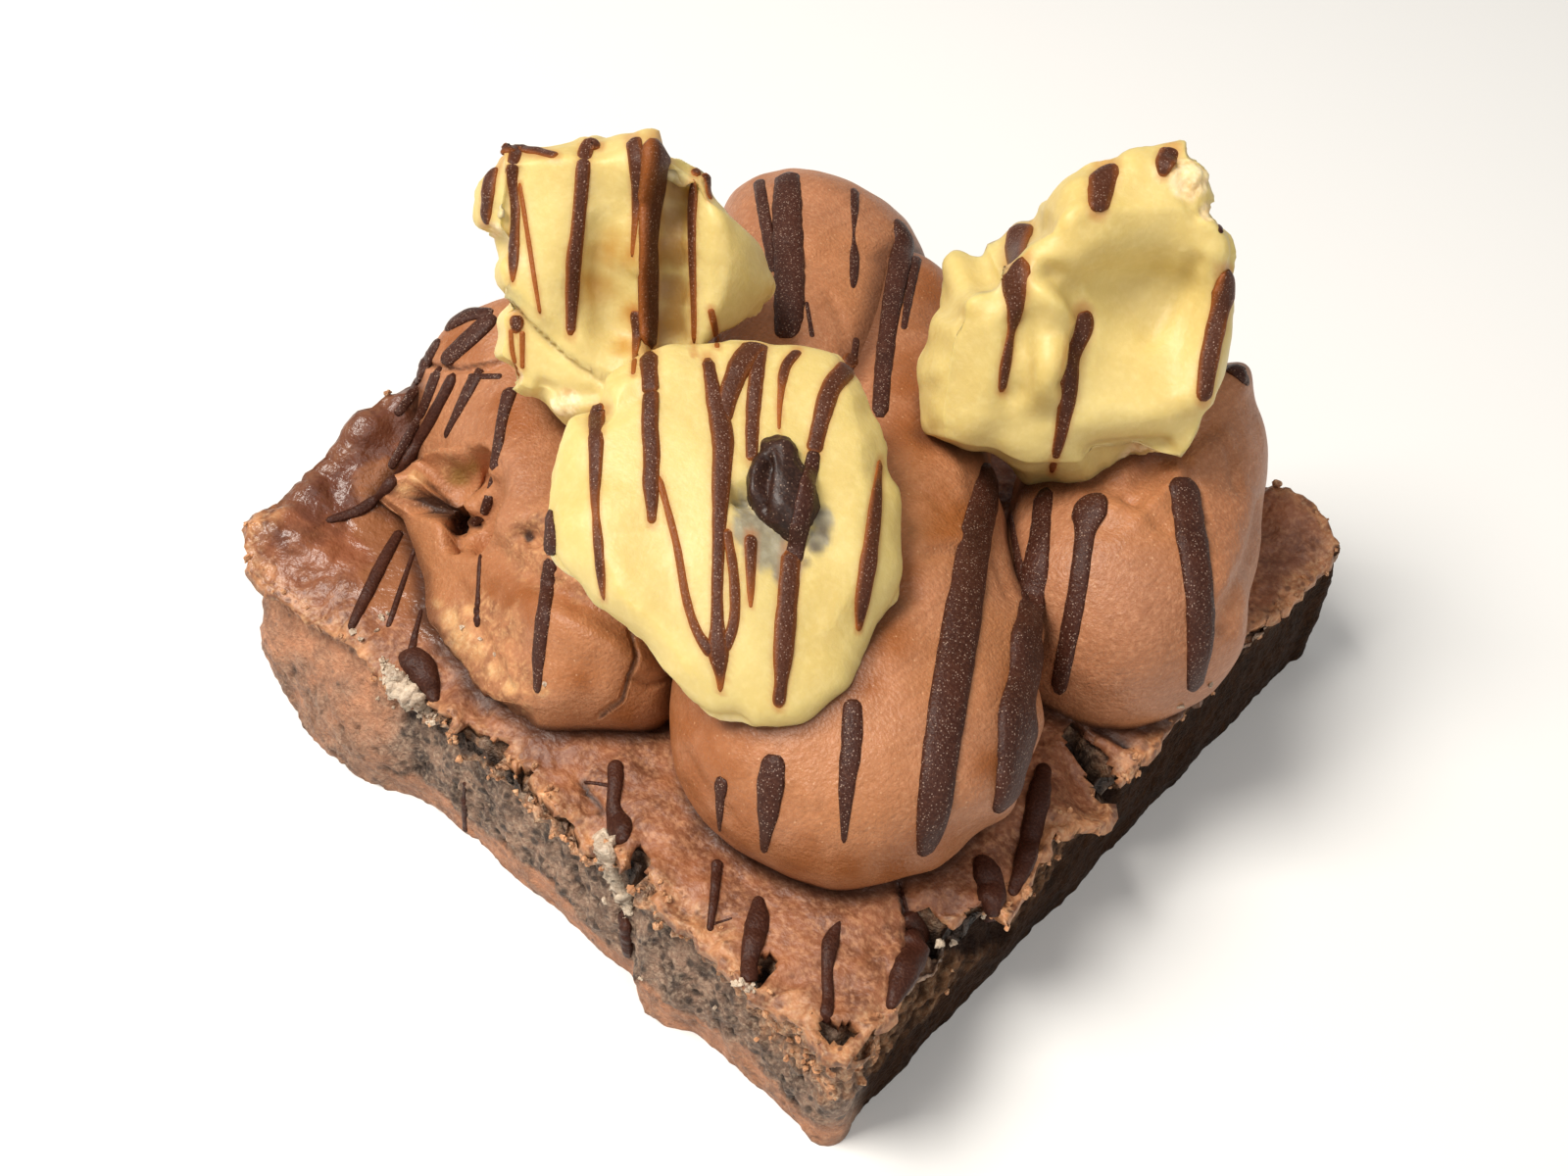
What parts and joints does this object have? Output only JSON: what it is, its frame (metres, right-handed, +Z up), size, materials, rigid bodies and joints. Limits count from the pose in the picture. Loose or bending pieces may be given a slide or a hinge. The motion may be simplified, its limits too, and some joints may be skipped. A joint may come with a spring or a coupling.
{
  "type": "cookie dough brownie",
  "caption": "Square chocolate brownie topped with piped chocolate buttercream, lumps of cookie dough, a chocolate chip and a dark chocolate drizzle.",
  "frame": {"origin": "centre of the bounding box of the whole at the level of the slab's underside", "axes": "+Z up; X and Y along the sides of the slab, with the front corner of the picture at +X, -Y"},
  "size_m": [0.0768, 0.0811, 0.0568],
  "materials": {
    "baked_brownie": "thin crackled sugar crust over a dark fudgy crumb",
    "buttercream": "smooth satin milk chocolate buttercream",
    "cookie_dough": "soft, slightly oily raw dough",
    "dark_chocolate": "set dark chocolate with a dull shine"
  },
  "bodies": {
    "root": {"brownie": "baked_brownie", "chocolate_chip": "dark_chocolate", "dough_front": "cookie_dough", "dough_left": "cookie_dough", "dough_right": "cookie_dough", "frosting_back": "buttercream", "frosting_front": "buttercream", "frosting_right": "buttercream", "frosting_left": "buttercream"}
  },
  "joints": []
}
